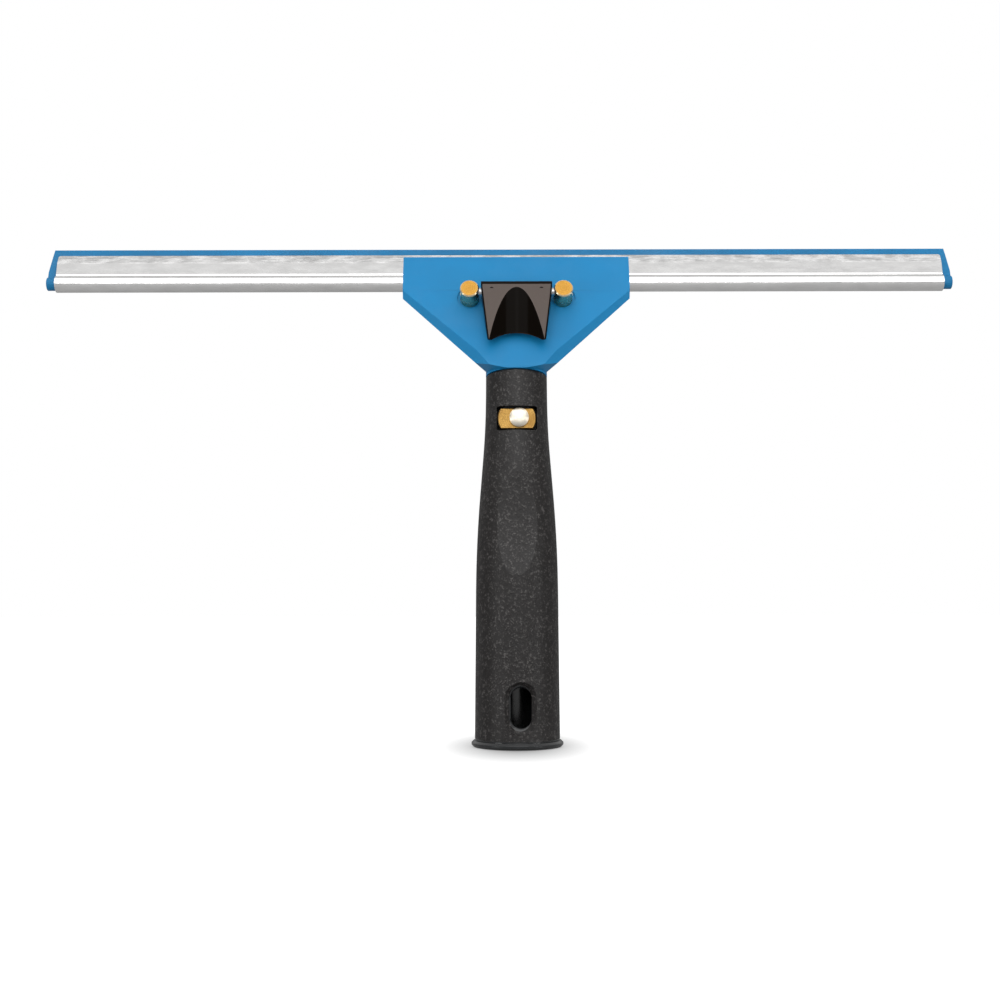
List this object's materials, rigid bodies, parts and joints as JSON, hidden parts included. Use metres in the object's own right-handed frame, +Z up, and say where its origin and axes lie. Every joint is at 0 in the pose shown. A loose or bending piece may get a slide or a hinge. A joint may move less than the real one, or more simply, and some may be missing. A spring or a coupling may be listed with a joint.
{
  "type": "window cleaning squeegee",
  "caption": "T-shaped window squeegee: rubber blade in a steel channel, cam-lever quick-release clamp head, hollow tapered grip with pole socket and head catch.",
  "frame": {"origin": "centre of the handle's open lower end, on the flange's end face", "axes": "+Z up along the handle towards the blade, +X along the blade, working front with the lever towards -Y"},
  "size_m": [0.3626, 0.0358, 0.1984],
  "materials": {
    "grip_black": "spark-textured matt black",
    "core_black": "moulded gloss black",
    "head_blue": "moulded satin blue",
    "channel_steel": "polished stainless, a little mottled",
    "blade_rubber": "blue natural rubber, smooth",
    "lever_black": "semi-gloss black",
    "pin_steel": "zinc-plated steel",
    "catch_brass": "polished brass",
    "button_bright": "bright polished brass",
    "post_brass": "turned brass",
    "spring_steel": "spring wire"
  },
  "bodies": {
    "handle": {"grip": "grip_black", "handle_core": "core_black", "head_body": "head_blue", "jaw_spring_left": "spring_steel", "jaw_spring_right": "spring_steel", "catch_spring": "spring_steel"},
    "clamp": {"rear_jaw": "head_blue", "clamp_post_left": "post_brass", "clamp_post_right": "post_brass", "post_washer_left": "pin_steel", "post_washer_right": "pin_steel", "post_nut_left": "pin_steel", "post_nut_right": "pin_steel", "lever_pin": "pin_steel"},
    "lever": {"release_lever": "lever_black"},
    "channel": {"channel": "channel_steel"},
    "rubber": {"rubber_blade": "blade_rubber"},
    "catch": {"catch_pad": "catch_brass", "catch_button": "button_bright", "catch_plunger": "core_black"}
  },
  "joints": [
    {"name": "clamp_slide", "type": "slide", "parent": "handle", "child": "clamp", "axis": [0, 0.9511, -0.309], "range_m": [0, 0.0012], "deforming": ["jaw_spring_left", "jaw_spring_right"]},
    {"name": "lever_hinge", "type": "hinge", "parent": "clamp", "child": "lever", "pos_m": [0, -0.00878, 0.17733], "axis": [-1, 0, 0], "range_deg": [0, 85]},
    {"name": "channel_slide", "type": "slide", "parent": "handle", "child": "channel", "axis": [1, 0, 0], "range_m": [-0.196, 0.209]},
    {"name": "rubber_slide", "type": "slide", "parent": "channel", "child": "rubber", "axis": [1, 0, 0], "range_m": [-0.339, 0.339]},
    {"name": "catch_press", "type": "slide", "parent": "handle", "child": "catch", "axis": [0, 1, 0], "range_m": [0, 0.0044], "stiffness_N_per_m": 400, "springref_m": -0.004, "deforming": ["catch_spring"]}
  ],
  "couplings": [
    {"joint": "lever_hinge", "follows": "clamp_slide", "rad_per_m": 1236}
  ]
}
